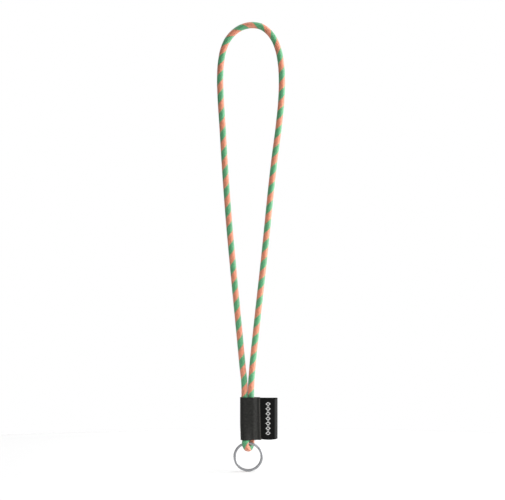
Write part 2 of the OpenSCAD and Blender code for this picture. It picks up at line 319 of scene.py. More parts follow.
def satin_material(flag, length):
    """Woven polyester satin, black: long floats along the ribbon give a silky gloss, and
    the hot-cut top and bottom edges are darker."""
    material, tree, shader = new_material("polyester_satin_ribbon", {
        "Specular IOR Level": 0.12, "Sheen Weight": 0.03, "Sheen Roughness": 0.3,
    })
    weave = add_node(tree, "ShaderNodeUVMap", uv_map="weave")
    place = add_node(tree, "ShaderNodeTexCoord")
    # Warp floats 0.35 mm apart, drawn coarser than the real 0.1 mm
    floats = add_node(tree, "ShaderNodeTexWave", {
        "Vector": (weave, "UV"), "Scale": wave_scale(0.35), "Distortion": 0.8, "Detail": 2.0,
    }, wave_type="BANDS", bands_direction="Y")
    cloud = add_node(tree, "ShaderNodeTexNoise", {
        "Vector": (weave, "UV"), "Scale": 0.25, "Detail": 4.0,
    })
    dark, pale = shade(flag.satin_colour, 0.75), shade(flag.satin_colour, 1.3)
    tone = add_mix(tree, (cloud, "Fac"), dark, pale)
    axes = add_node(tree, "ShaderNodeSeparateXYZ", {"Vector": (place, "Object")})
    middle = add_node(tree, "ShaderNodeMath", {
        0: (axes, "Z"), 1: (FLAG_LOW.z + FLAG_HIGH.z) / 2,
    }, operation="SUBTRACT")
    out = add_node(tree, "ShaderNodeMath", {0: (middle, 0)}, operation="ABSOLUTE")
    half = (FLAG_HIGH.z - FLAG_LOW.z) / 2
    cut = add_node(tree, "ShaderNodeMapRange", {
        "Value": (out, 0), "From Min": half - 1.5 * MM, "From Max": half - 0.7 * MM,
    })
    # Painted highlight: a paler band beside the fold stands in for the light that its curve catches
    along = add_node(tree, "ShaderNodeSeparateXYZ", {"Vector": (weave, "UV")})
    from_fold = add_node(tree, "ShaderNodeMath", {
        0: (along, "X"), 1: length / MM / 2,
    }, operation="SUBTRACT")
    near = add_node(tree, "ShaderNodeMath", {0: (from_fold, 0)}, operation="ABSOLUTE")
    fold = add_node(tree, "ShaderNodeMapRange", {
        "Value": (near, 0), "From Min": 3.4, "From Max": 2.2,
    })
    # Painted highlight mixed over the satin's own tone near the fold
    fold_highlight_mix = add_mix(tree, (fold, "Result"), (tone, 2), tuple(flag.fold_highlight_colour) + (1.0,))
    both = add_mix(tree, (cut, "Result"), (fold_highlight_mix, 2), srgb("#060606"))
    rough = add_node(tree, "ShaderNodeMapRange", {
        "Value": (floats, "Fac"), "To Min": 0.5, "To Max": 0.36,
    })
    bump = add_bump(tree, floats, 0.3, 0.03 * MM)
    fill(tree, shader, {
        "Base Color": (both, 2), "Roughness": (rough, "Result"), "Normal": (bump, "Normal"),
    })
    return material


def mark_material(colour):
    """Raised weft of bright polyester: white and silky, one float beside the next."""
    material, tree, shader = new_material("woven_polyester_ornament", {
        "Specular IOR Level": 0.45, "Sheen Weight": 0.2,
    })
    place = add_node(tree, "ShaderNodeTexCoord")
    # Filaments along each float, 0.15 mm apart
    threads = add_node(tree, "ShaderNodeTexWave", {
        "Vector": (place, "Object"), "Scale": wave_scale(0.15 * MM), "Distortion": 0.5,
    }, wave_type="BANDS", bands_direction="Z")
    # Painted shade: 0.86 as bright between the filaments, where the bump is low
    tone = add_mix(tree, (threads, "Fac"), shade(colour, 0.86), colour)
    bump = add_bump(tree, threads, 0.3, 0.02 * MM)
    rough = add_node(tree, "ShaderNodeMapRange", {
        "Value": (threads, "Fac"), "To Min": 0.6, "To Max": 0.45,
    })
    fill(tree, shader, {
        "Base Color": (tone, 2), "Roughness": (rough, "Result"), "Normal": (bump, "Normal"),
    })
    return material


def steel_material(ring):
    """Nickel-plated spring steel, barrel polished: a soft mirror with faint tumbling marks
    and slightly duller patches where keys have rubbed."""
    material, tree, shader = new_material("nickel_plated_spring_steel", {
        "Base Color": (*ring.steel_colour, 1.0), "Metallic": 1.0,
    })
    place = add_node(tree, "ShaderNodeTexCoord")
    # Wear patches a few millimetres across
    patches = add_node(tree, "ShaderNodeTexNoise", {
        "Vector": (place, "Object"), "Scale": 1 / (4 * MM), "Detail": 4.0,
    })
    # Tumbling marks 0.4 mm apart
    marks = add_node(tree, "ShaderNodeTexNoise", {
        "Vector": (place, "Object"), "Scale": 1 / (0.4 * MM), "Detail": 2.0,
    })
    rough = add_node(tree, "ShaderNodeMapRange", {
        "Value": (patches, "Fac"), "From Min": 0.35, "From Max": 0.65,
        "To Min": ring.roughness * 0.8, "To Max": ring.roughness * 1.3,
    })
    bump = add_bump(tree, marks, 0.12, 0.02 * MM)
    fill(tree, shader, {"Roughness": (rough, "Result"), "Normal": (bump, "Normal")})
    return material


# ---- places taken from the frame ----

WRAP_LOW, WRAP_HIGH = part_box("webbing_wrap")
FLAG_LOW, FLAG_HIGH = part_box("flag_label")
MARK_LOW, MARK_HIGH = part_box("flag_mark")
SEAM_LOW, SEAM_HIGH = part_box("seam_thread")
RING_LOW, RING_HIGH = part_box("split_ring")
ROOT_LOW, ROOT_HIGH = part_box("flag_root")
LABEL_TOP = WRAP_HIGH.z
LABEL_BOTTOM = WRAP_LOW.z
EDGE_X = WRAP_HIGH.x
LEFT_X = NECK[0][0]
WRAP_R = LEFT_X - WRAP_LOW.x
STRIP_X = ROOT_LOW.x
SEAM_X = (SEAM_LOW.x + SEAM_HIGH.x) / 2
SEAM_HALF = SEAM_HIGH.y - 0.3 * MM


# ---- curves and tubes ----

ROUTE_SAMPLES = 6000


def travelled(points):
    """Distance along a line of points, up to each of them."""
    return np.concatenate([[0], np.cumsum(np.linalg.norm(np.diff(points, axis=0), axis=1))])


def ease(t):
    """Smooth step from 0 to 1."""
    t = np.clip(t, 0.0, 1.0)
    return t * t * (3 - 2 * t)


def unit(v):
    """Vectors of length one, along the last axis."""
    return v / np.linalg.norm(v, axis=-1, keepdims=True)


def smooth_route(points, spacing):
    """Rows [x, y, z, half width, half depth, turn] at even steps along a smooth curve
    through a route's points. Both ends stand upright. The second value is each row's
    distance along the route, which the steps divide evenly."""
    rows = np.array(points, float)
    knots = travelled(rows[:, :3])
    slope = np.gradient(rows, knots, axis=0)
    slope[0, :3] = (0, 0, np.sign(rows[1, 2] - rows[0, 2]))
    slope[-1, :3] = (0, 0, np.sign(rows[-1, 2] - rows[-2, 2]))
    fine = np.linspace(0, knots[-1], ROUTE_SAMPLES)
    i = np.clip(np.searchsorted(knots, fine, side="right") - 1, 0, len(knots) - 2)
    h = (knots[i + 1] - knots[i])[:, None]
    t = (fine - knots[i])[:, None] / h
    curve = (
        (2 * t**3 - 3 * t**2 + 1) * rows[i]
        + (t**3 - 2 * t**2 + t) * h * slope[i]
        + (3 * t**2 - 2 * t**3) * rows[i + 1]
        + (t**3 - t**2) * h * slope[i + 1]
    )
    gone = travelled(curve[:, :3])
    steps = max(2, round(gone[-1] / spacing))
    even = np.linspace(0, gone[-1], steps + 1)
    out = np.stack([np.interp(even, gone, curve[:, c]) for c in range(6)], axis=1)
    return out, even


def neck_points(cord):
    """The neck route in the form of the other stretches, round and turned a quarter."""
    r = cord.diameter / 2
    return [[x, 0, z, r, r, 90] for x, z in NECK]


def cross_frame(rows):
    """At each row, the width and depth directions across the cord."""
    along = unit(np.gradient(rows[:, :3], axis=0))
    turn = np.radians(rows[:, 5])
    width = np.stack([np.cos(turn), np.sin(turn), 0 * turn], axis=1)
    width = unit(width - (width * along).sum(1, keepdims=True) * along)
    return width, np.cross(along, width)


def on_cord(rows, angle, share):
    """Points at an angle round the cord and a share of the way out from its middle line,
    and the outward direction there."""
    width, depth = cross_frame(rows)
    c, s = np.cos(angle)[:, None], np.sin(angle)[:, None]
    a, b = rows[:, 3:4], rows[:, 4:5]
    share = np.asarray(share).reshape(-1, 1)
    point = rows[:, :3] + share * (a * c * width + b * s * depth)
    return point, unit(c / a * width + s / b * depth)


def yarn_rings(line, out, width, thick, sides):
    """Rings of points round a flat yarn whose middle line and outward side are given."""
    along = unit(np.gradient(line, axis=0))
    across = unit(np.cross(along, out))
    up = np.cross(across, along)
    turn = np.arange(sides) * 2 * np.pi / sides
    flat = (width / 2 * np.cos(turn))[None, :, None] * across[:, None]
    tall = (thick / 2 * np.sin(turn))[None, :, None] * up[:, None]
    return line[:, None] + flat + tall


def tube_object(name, tubes, materials):
    """One object of closed tubes. Each tube is its rings of points and the material of
    each stretch. The UV map runs in millimetres, round the yarn and along it."""
    points, faces, finishes, uvs = [], [], [], []
    base = 0
    for rings, finish in tubes:
        count, sides = rings.shape[:2]
        i, k = np.meshgrid(np.arange(count - 1), np.arange(sides), indexing="ij")
        a = base + i * sides + k
        b = base + i * sides + (k + 1) % sides
        faces += np.stack([a, a + sides, b + sides, b], axis=-1).reshape(-1, 4).tolist()
        finishes += np.repeat(finish, sides).tolist()
        v = travelled(rings.mean(1)) / MM
        u = np.arange(sides + 1) * np.linalg.norm(rings[0, 1] - rings[0, 0]) / MM
        corner = [(u[k], v[i]), (u[k], v[i + 1]), (u[k + 1], v[i + 1]), (u[k + 1], v[i])]
        uvs.append(np.stack([np.stack(c, axis=-1) for c in corner], axis=2).reshape(-1, 2))
        last = base + (count - 1) * sides
        faces.append([base + n for n in range(sides)])
        faces.append([last + n for n in reversed(range(sides))])
        finishes += [int(finish[0]), int(finish[-1])]
        uvs.append(np.zeros((2 * sides, 2)))
        points.append(rings.reshape(-1, 3))
        base += count * sides
    mesh = bpy.data.meshes.new(name)
    mesh.from_pydata(np.concatenate(points).tolist(), [], faces)
    for material in materials:
        mesh.materials.append(material)
    mesh.polygons.foreach_set("material_index", finishes)
    mesh.polygons.foreach_set("use_smooth", [True] * len(faces))
    mesh.uv_layers.new(name="yarn").data.foreach_set("uv", np.concatenate(uvs).ravel())
    mesh.update()
    piece = bpy.data.objects.new(name, mesh)
    bpy.context.scene.collection.objects.link(piece)
    return piece


# ---- the braid ----

RINGS_PER_LEAD = 48
YARN_SIDES = 6
FILLER_SIDES = 8
TINTS = (1.0, 0.9, 1.1)
# Steps along a yarn between changes of tint, and the seed that each yarn's own counts from
TINT_STEPS = 8
TINT_SEED = 100
# Depth of a top yarn's middle under the cord's surface, as a share of its thickness
CROWN_DEPTH = 0.43
# A yarn rises and dips along a flattened cosine, scaled back to a height of one
FLATTEN = 0.25
FLATTEN_SCALE = 1.118


def braid_spacing(cord):
    """Step between rings, which puts a ring at and midway between all crossings."""
    return cord.stripe_lead / RINGS_PER_LEAD


def braid_tubes(cord, rows, gone, phase, hand, members):
    """Yarns of one hand, over two and under two of the other hand. hand is 1 for yarns
    that climb to the right and -1 for the others. Coral fills half of each lead."""
    radius = cord.diameter / 2
    middle = radius - CROWN_DEPTH * cord.yarn_thickness - cord.yarn_thickness / 2
    tubes = []
    for j in members:
        share = (j + 0.5) / cord.yarns - phase + hand * gone / cord.stripe_lead
        weave = np.cos(np.pi / 2 * (2 * cord.yarns * (share + phase) - 1.5))
        lift = hand * weave / np.sqrt(weave**2 + FLATTEN) * FLATTEN_SCALE
        reach = middle + lift * cord.yarn_thickness / 2
        line, out = on_cord(rows, 2 * np.pi * share, reach / radius)
        rings = yarn_rings(line, out, cord.yarn_width, cord.yarn_thickness, YARN_SIDES)
        halfway = (gone[1:] + gone[:-1]) / 2
        turn = (share[1:] + share[:-1]) / 2 - halfway / cord.stripe_lead + phase
        green = (turn % 1.0) >= 0.5
        rng = np.random.default_rng(TINT_SEED + 10 * j + hand)
        draws = rng.integers(0, len(TINTS), len(turn) // TINT_STEPS + 1)
        tint = np.repeat(draws, TINT_STEPS)[:len(turn)]
        tubes.append((rings, green * len(TINTS) + tint))
    return tubes


def filler_tubes(cord, rows, gone):
    """Seven filler yarns, six twisted round one, that fill the braid."""
    inside = cord.diameter / 2 - 2 * cord.yarn_thickness - 0.05 * MM
    each = inside / 3
    lead = 8 * cord.diameter
    tubes = []
    for j in range(7):
        reach = 0 if j == 0 else 2 * each
        angle = 2 * np.pi * (j / 6 + gone / lead)
        line, out = on_cord(rows, angle, reach / (cord.diameter / 2))
        rings = yarn_rings(line, out, 2 * each, 2 * each, FILLER_SIDES)
        tubes.append((rings, np.zeros(len(gone) - 1, int)))
    return tubes


def cord_materials(cord):
    """Yarn materials, made once: coral tints first, and green tints after them."""
    found = [m for m in bpy.data.materials if m.name.startswith("dyed_polyester_yarn")]
    if not found:
        for colour, word in ((cord.coral, "coral"), (cord.green, "green")):
            for n, tint in enumerate(TINTS):
                name = f"dyed_polyester_yarn_{word}_{n + 1}"
                found.append(yarn_material(name, tuple(colour), tint))
    return sorted(found, key=lambda m: m.name)


def filler_finish(cord):
    """The filler's material, made once."""
    found = bpy.data.materials.get("undyed_polyester_filler")
    return found or filler_material((*cord.filler, 1.0))


# ---- sheets ----

def select_only(piece):
    """Leaves one piece selected and active."""
    bpy.ops.object.select_all(action="DESELECT")
    piece.select_set(True)
    bpy.context.view_layer.objects.active = piece


def grid_piece(name, columns, rows_up, place):
    """A grid laid in space: place turns column and row shares, from 0 to 1, into points."""
    bpy.ops.object.select_all(action="DESELECT")
    bpy.ops.mesh.primitive_grid_add(x_subdivisions=columns, y_subdivisions=rows_up, size=1)
    piece = bpy.context.object
    piece.name = piece.data.name = name
    flat = np.empty(len(piece.data.vertices) * 3)
    piece.data.vertices.foreach_get("co", flat)
    shares = flat.reshape(-1, 3)[:, :2] + 0.5
    piece.data.vertices.foreach_set("co", place(shares[:, 0], shares[:, 1]).ravel())
    piece.data.update()
    return piece


def give_wall(piece, thickness, offset):
    """Gives a sheet its thickness."""
    select_only(piece)
    wall = piece.modifiers.new("cloth thickness", "SOLIDIFY")
    wall.thickness = thickness
    wall.offset = offset
    wall.use_even_offset = True
    bpy.ops.object.modifier_apply(modifier=wall.name)


def smooth_by(piece, degrees):
    """Smooth shading, with edges sharper than that many degrees kept."""
    select_only(piece)
    bpy.ops.object.shade_smooth_by_angle(angle=math.radians(degrees))


def weave_uv(piece, width, height):
    """Names the grid's UV map and runs it in millimetres."""
    layer = piece.data.uv_layers[0]
    layer.name = "weave"
    flat = np.empty(len(layer.data) * 2)
    layer.data.foreach_get("uv", flat)
    flat = flat.reshape(-1, 2) * (width / MM, height / MM)
    layer.data.foreach_set("uv", flat.ravel())


# ---- webbing outline, as the frame has it ----

# The mouth widens from this height down, over this length
MOUTH_TOP = -0.400
MOUTH_HEIGHT = 0.0198
# Along X: where the front bulge starts to fade and the back one to rise, and how far it takes
FRONT_FADE_X = -0.006
BACK_RISE_X = -0.008
BULGE_RUN = 0.007
# Along X: where the webbing starts to thin towards its sewn strip, and where it starts to lean
THIN_FROM_X = 0.0014
LEAN_FROM_X = 0.002
SEAM_LEAN = 1.1 * MM


def mouth_share(z):
    """How far the mouth has opened at a height, 0 above it and 1 at the label's bottom."""
    return ease((MOUTH_TOP - z) / MOUTH_HEIGHT)


def half_thickness(x, z, side):
    """Half the label's thickness. Its mouth bulges at the front over the left leg and at
    the back over the right leg, and it is flat beyond STRIP_X, where it is sewn."""
    bulge = (WRAP_HIGH.y - WRAP_R) * mouth_share(z)
    if side < 0:
        lean = 1 - ease((x - FRONT_FADE_X) / BULGE_RUN)
    else:
        lean = ease((x - BACK_RISE_X) / BULGE_RUN)
    full = WRAP_R + bulge * lean
    return full + (SEAM_HALF - full) * ease((x - THIN_FROM_X) / (STRIP_X - THIN_FROM_X))


def seam_lean(x, z):
    """How far the sewn side leans: in at the top and out at the bottom, none at the legs."""
    share = (z - (LABEL_TOP + LABEL_BOTTOM) / 2) / (LABEL_TOP - LABEL_BOTTOM)
    return -SEAM_LEAN * share * ease((x - LEAN_FROM_X) / (EDGE_X - LEAN_FROM_X))


def webbing_line(z):
    """Outer line of the webbing at one height, [x, y], from the front edge round the left
    leg to the back edge. It narrows a little towards its mouth."""
    x = np.linspace(EDGE_X, LEFT_X, 90)
    u = np.linspace(0, np.pi, 50)[1:-1]
    narrow = 0.2 * MM + 0.45 * MM * mouth_share(z)
    near = half_thickness(np.full(len(u), LEFT_X), z, -1)
    far = half_thickness(np.full(len(u), LEFT_X), z, 1)
    deep = np.where(u < np.pi / 2, near, far)
    front = np.stack([x, -half_thickness(x, z, -1)], axis=1)
    cap = np.stack([LEFT_X - (WRAP_R - narrow) * np.sin(u), -deep * np.cos(u)], axis=1)
    back = np.stack([x, half_thickness(x, z, 1)], axis=1)[::-1]
    return np.concatenate([front, cap, back])


def even_on(line, shares):
    """Points at shares of a line's length, and the outward direction there."""
    gone = travelled(line)
    at = shares * gone[-1]
    point = np.stack([np.interp(at, gone, line[:, c]) for c in (0, 1)], axis=1)
    step = gone[-1] / 400
    ahead = np.stack([np.interp(at + step, gone, line[:, c]) for c in (0, 1)], axis=1)
    behind = np.stack([np.interp(at - step, gone, line[:, c]) for c in (0, 1)], axis=1)
    along = unit(ahead - behind)
    return point, np.stack([-along[:, 1], along[:, 0]], axis=1)


def plain_weave(u, v, relief):
    """Height of a plain weave whose yarns are one unit apart."""
    column, row = np.floor(u), np.floor(v)
    warp = np.cos(np.pi * (u - 0.5)) * (-1.0) ** row + 0.9 * np.cos(2 * np.pi * (v - 0.5))
    weft = -np.cos(np.pi * (v - 0.5)) * (-1.0) ** column + 0.9 * np.cos(2 * np.pi * (u - 0.5))
    return relief * np.maximum(warp, weft) / 1.9


# ---- settings ----

def length_setting(name, description, default, low, high):
    """A setting that is a length in metres."""
    return bpy.props.FloatProperty(
        name=name, description=description, default=default, min=low, max=high,
        unit="LENGTH", precision=5)


def colour_setting(name, description, code):
    """A setting that is a colour, given as an sRGB hex value."""
    return bpy.props.FloatVectorProperty(
        name=name, description=description, subtype="COLOR", size=3, min=0, max=1,
        default=srgb(code)[:3])


class LanyardCord(bpy.types.PropertyGroup):
    """Sizes and colours of the braided cord"""
    diameter: length_setting(
        "Diameter", "Diameter of the braided cord",
        0.0065, 0.006, 0.0068)
    stripe_lead: length_setting(
        "Stripe lead", "Length of cord for one green and one coral band",
        0.0194, 0.015, 0.025)
    yarns: bpy.props.IntProperty(
        name="Yarns each way", description="Yarns that climb to the right, and as many to the left",
        default=12, min=8, max=16, step=4)
    yarn_width: length_setting(
        "Yarn width", "Width of one flattened yarn",
        0.00118, 0.0008, 0.0016)
    yarn_thickness: length_setting(
        "Yarn thickness", "Thickness of one flattened yarn",
        0.00045, 0.0003, 0.0006)
    coral: colour_setting(
        "Coral", "Colour of the coral bands", "#E08863")
    green: colour_setting(
        "Green", "Colour of the green bands", "#44A46A")
    filler: colour_setting(
        "Filler", "Colour of the filler yarns", "#EFEBE0")


class LanyardLabel(bpy.types.PropertyGroup):
    """Sizes and colours of the sewn webbing label"""
    webbing_thickness: length_setting(
        "Webbing thickness", "Thickness of one layer of webbing",
        0.00065, 0.0005, 0.0008)
    weave_pitch: length_setting(
        "Weave pitch", "Distance between neighbouring yarns of the webbing",
        0.0011, 0.0008, 0.002)
    weave_relief: length_setting(
        "Weave relief", "How far the yarns stand up from the weave",
        0.0001, 0, 0.0002)
    stitch_pitch: length_setting(
        "Stitch pitch", "Distance from stitch to stitch in the edge seam",
        0.0023, 0.002, 0.003)
    webbing_colour: colour_setting(
        "Webbing", "Colour of the webbing", "#272725")
    edge_colour: colour_setting(
        "Woven edge", "Colour of the webbing's edge beside the seam", "#3F3E3B")
    thread_colour: colour_setting(
        "Thread", "Colour of the sewing thread", "#45433F")


class LanyardFlag(bpy.types.PropertyGroup):
    """Sizes and colours of the satin flag"""
    satin_thickness: length_setting(
        "Satin thickness", "Thickness of one layer of satin ribbon",
        0.00036, 0.0002, 0.00045)
    belly: length_setting(
        "Belly", "How far the bottom edge hangs lower at its middle",
        0.001, 0, 0.002)
    satin_colour: colour_setting(
        "Satin", "Colour of the satin ribbon", "#0D0D0D")
    # Painted highlight: this paler colour beside the fold stands in for the light its curve catches
    fold_highlight_colour: colour_setting(
        "Fold", "Colour of the satin where it is stretched round the fold", "#404040")
    mark_colour: colour_setting(
        "Ornament", "Colour of the woven ornament", "#F4F4F2")


class LanyardRing(bpy.types.PropertyGroup):
    """Sizes and finish of the split ring"""
    wire_width: length_setting(
        "Wire width", "Width of the flat wire across the ring",
        0.0024, 0.002, 0.0025)
    wire_thickness: length_setting(
        "Wire thickness", "Thickness of one turn of the wire",
        0.0011, 0.0009, 0.0011)
    edge_round: length_setting(
        "Edge rounding", "Radius of the wire's broken edges",
        0.0004, 0.0001, 0.0005)
    split_at: bpy.props.FloatProperty(
        name="Split at", description="Angle at which the wire steps to the front turn",
        default=math.radians(40), min=0, max=math.radians(90), unit="ROTATION")
    split_span: bpy.props.FloatProperty(
        name="Split span", description="Angle over which the wire steps across",
        default=math.radians(24), min=math.radians(15), max=math.radians(30), unit="ROTATION")
    roughness: bpy.props.FloatProperty(
        name="Roughness", description="Roughness of the plated steel",
        default=0.24, min=0.05, max=0.6, subtype="FACTOR")
    steel_colour: colour_setting(
        "Steel", "Colour of the plated steel", "#A2A3A6")


class LanyardStage(bpy.types.PropertyGroup):
    """View, floor and light"""
    view_width: bpy.props.FloatProperty(
        name="View width", description="Width that the camera sees at the object",
        default=0.5153, min=0.3, max=1, unit="LENGTH")
    floor_gap: bpy.props.FloatProperty(
        name="Floor gap", description="Gap between the ring and the floor",
        default=0.0002, min=0, max=0.05, unit="LENGTH", precision=5)
    key_power: bpy.props.FloatProperty(
        name="Key light", description="Power of the soft light at the right, in front",
        default=9.0, min=0, max=100)
    rim_power: bpy.props.FloatProperty(
        name="Rim light", description="Power of the soft light at the right, a little behind",
        default=26.0, min=0, max=100)
    side_light: bpy.props.FloatProperty(
        name="Side light", description="How much brighter the surroundings are at the right",
        default=0.75, min=0, max=2)


class LanyardSettings(bpy.types.PropertyGroup):
    """All the lanyard's settings"""
    cord: bpy.props.PointerProperty(type=LanyardCord)
    label: bpy.props.PointerProperty(type=LanyardLabel)
    flag: bpy.props.PointerProperty(type=LanyardFlag)
    ring: bpy.props.PointerProperty(type=LanyardRing)
    stage: bpy.props.PointerProperty(type=LanyardStage)


# ---- pieces ----

class LANYARD_OT_stage(bpy.types.Operator):
    """Place the camera, the floor and the soft studio light"""
    bl_idname = "lanyard.stage"
    bl_label = "Stage"

    def execute(self, context):
        stage = context.scene.lanyard.stage
        low, high = CAD_BOX
        lens, sensor = 180.0, 36.0
        view_x, view_z = 0.00102, -0.2262
        view = bpy.data.cameras.new("camera")
        view.lens, view.sensor_width = lens, sensor
        camera = bpy.data.objects.new("camera", view)
        distance = stage.view_width * lens / sensor
        camera.location = (view_x, -distance, view_z)
        camera.rotation_euler = (math.pi / 2, 0, 0)
        context.scene.collection.objects.link(camera)
        context.scene.camera = camera
        view.clip_end = 20

        aim = Vector((0, 0, (low[2] + high[2]) / 2))
        lamp_size, floor_radius = 0.9, 0.6
        lamps = (
            ("key", (1.3, -0.7, 0.25), stage.key_power),
            ("rim", (1.5, 0.25, 0.0), stage.rim_power),
        )
        for name, place, power in lamps:
            light = bpy.data.lights.new(name, "AREA")
            light.energy, light.size = power, lamp_size
            lamp = bpy.data.objects.new(name, light)
            lamp.location = place
            lamp.rotation_euler = (aim - Vector(place)).to_track_quat("-Z", "Y").to_euler()
            context.scene.collection.objects.link(lamp)

        bpy.ops.object.select_all(action="DESELECT")
        bpy.ops.mesh.primitive_circle_add(
            vertices=96, radius=floor_radius, fill_type="NGON",
            location=(0, 0, low[2] - stage.floor_gap))
        floor = context.object
        floor.name = floor.data.name = "floor"
        bpy.ops.object.transform_apply(location=True, rotation=False, scale=False)
        # Matt white paper: no shine, so only the ring's soft shadow marks it
        material, tree, shader = new_material("white_paper", {
            "Roughness": 1.0, "Specular IOR Level": 0.0,
        })
        place = add_node(tree, "ShaderNodeTexCoord")
        # Paper fibre 2 mm across
        fibre = add_node(tree, "ShaderNodeTexNoise", {
            "Vector": (place, "Object"), "Scale": 1 / (2 * MM),
        })
        tone = add_mix(tree, (fibre, "Fac"), srgb("#E6E6E6"), srgb("#EAEAEA"))
        tree.links.new(tone.outputs[2], shader.inputs["Base Color"])
        floor.data.materials.append(material)

        self.surroundings(context.scene, stage)
        return {"FINISHED"}

    def surroundings(self, scene, stage):
        """White to the camera. The light is brightest at the right, above and behind."""
        level, behind_light, top_light, dimmest = 0.62, 0.25, 0.55, 0.08
        world = bpy.data.worlds.new("studio")
        scene.world = world
        world.use_nodes = True
        tree = world.node_tree
        tree.nodes.clear()
        place = add_node(tree, "ShaderNodeTexCoord")
        axes = add_node(tree, "ShaderNodeSeparateXYZ", {"Vector": (place, "Generated")})
        side = add_node(tree, "ShaderNodeMath", {
            0: (axes, "X"), 1: stage.side_light, 2: level,
        }, operation="MULTIPLY_ADD")
        behind = add_node(tree, "ShaderNodeMath", {
            0: (axes, "Y"), 1: behind_light, 2: (side, 0),
        }, operation="MULTIPLY_ADD")
        above = add_node(tree, "ShaderNodeMath", {
            0: (axes, "Z"), 1: top_light, 2: (behind, 0),
        }, operation="MULTIPLY_ADD")
        strength = add_node(tree, "ShaderNodeMath", {
            0: (above, 0), 1: dimmest,
        }, operation="MAXIMUM")
        light = add_node(tree, "ShaderNodeBackground", {
            "Color": (1, 1, 1, 1), "Strength": (strength, 0),
        })
        white = add_node(tree, "ShaderNodeBackground", {"Color": (1, 1, 1, 1)})
        path = add_node(tree, "ShaderNodeLightPath")
        mix = add_node(tree, "ShaderNodeMixShader", {
            0: (path, "Is Camera Ray"), 1: (light, 0), 2: (white, 0),
        })
        add_node(tree, "ShaderNodeOutputWorld", {"Surface": (mix, 0)})
        scene.view_settings.view_transform = "Standard"


class LANYARD_OT_neck_cord(bpy.types.Operator):
    """Braid the long neck cord and lay its filler yarns"""
    bl_idname = "lanyard.neck_cord"
    bl_label = "Neck cord"

    def execute(self, context):
        cord = context.scene.lanyard.cord
        rows, gone = smooth_route(neck_points(cord), braid_spacing(cord))
        half, every = cord.yarns // 2, range(cord.yarns)
        groups = (
            ("neck_yarns_coral", 1, every[:half]),
            ("neck_yarns_green", 1, every[half:]),
            ("neck_crossing_yarns_odd", -1, every[::2]),
            ("neck_crossing_yarns_even", -1, every[1::2]),
        )
        pieces = []
        for name, hand, members in groups:
            tubes = braid_tubes(cord, rows, gone, NECK_PHASE, hand, members)
            piece = tube_object(name, tubes, cord_materials(cord))
            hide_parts("neck_cord")
            pieces.append(piece)
        thin, thin_gone = smooth_route(neck_points(cord), 3 * MM)
        filler = tube_object(
            "neck_filler", filler_tubes(cord, thin, thin_gone), [filler_finish(cord)])
        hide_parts("neck_core")
        pieces.append(filler)
        for piece in pieces:
            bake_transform(piece)
        return {"FINISHED"}


class LANYARD_OT_ring_loop(bpy.types.Operator):
    """Braid the small loop that carries the split ring"""
    bl_idname = "lanyard.ring_loop"
    bl_label = "Ring loop"

    def execute(self, context):
        cord = context.scene.lanyard.cord
        rows, gone = smooth_route(LOOP, braid_spacing(cord))
        every = range(cord.yarns)
        tubes = braid_tubes(cord, rows, gone, LOOP_PHASE, 1, every)
        tubes += braid_tubes(cord, rows, gone, LOOP_PHASE, -1, every)
        braid = tube_object("ring_loop_braid", tubes, cord_materials(cord))
        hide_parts("ring_loop")
        thin, thin_gone = smooth_route(LOOP, 1 * MM)
        filler = tube_object(
            "ring_loop_filler", filler_tubes(cord, thin, thin_gone), [filler_finish(cord)])
        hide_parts("ring_loop_core")
        for piece in (braid, filler):
            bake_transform(piece)
        return {"FINISHED"}


class LANYARD_OT_inner_cord(bpy.types.Operator):
    """Braid the stretches of cord inside the label, with their sealed and sewn ends"""
    bl_idname = "lanyard.inner_cord"
    bl_label = "Cord inside the label"

    def execute(self, context):
        cord = context.scene.lanyard.cord
        braid, filler = [], []
        for points in (RUN, UPPER_END, LOWER_END):
            rows, gone = smooth_route(points, braid_spacing(cord))
            for hand in (1, -1):
                braid += braid_tubes(cord, rows, gone, INNER_PHASE, hand, range(cord.yarns))
            thin, thin_gone = smooth_route(points, 2 * MM)
            filler += filler_tubes(cord, thin, thin_gone)
        outside = tube_object("inner_braid", braid, cord_materials(cord))
        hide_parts("inner_cord")
        inside = tube_object("inner_filler", filler, [filler_finish(cord)])
        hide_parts("inner_core")
        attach(outside, "label")
        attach(inside, "label")
        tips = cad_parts["sealed_ends"]
        tips.data.materials.clear()
        tips.data.materials.append(melted_material())
        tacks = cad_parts["joining_stitch"]
        tacks.data.materials.clear()
        tacks.data.materials.append(thread_material("polyester_tacking_thread", srgb("#2A2A2A")))
        return {"FINISHED"}


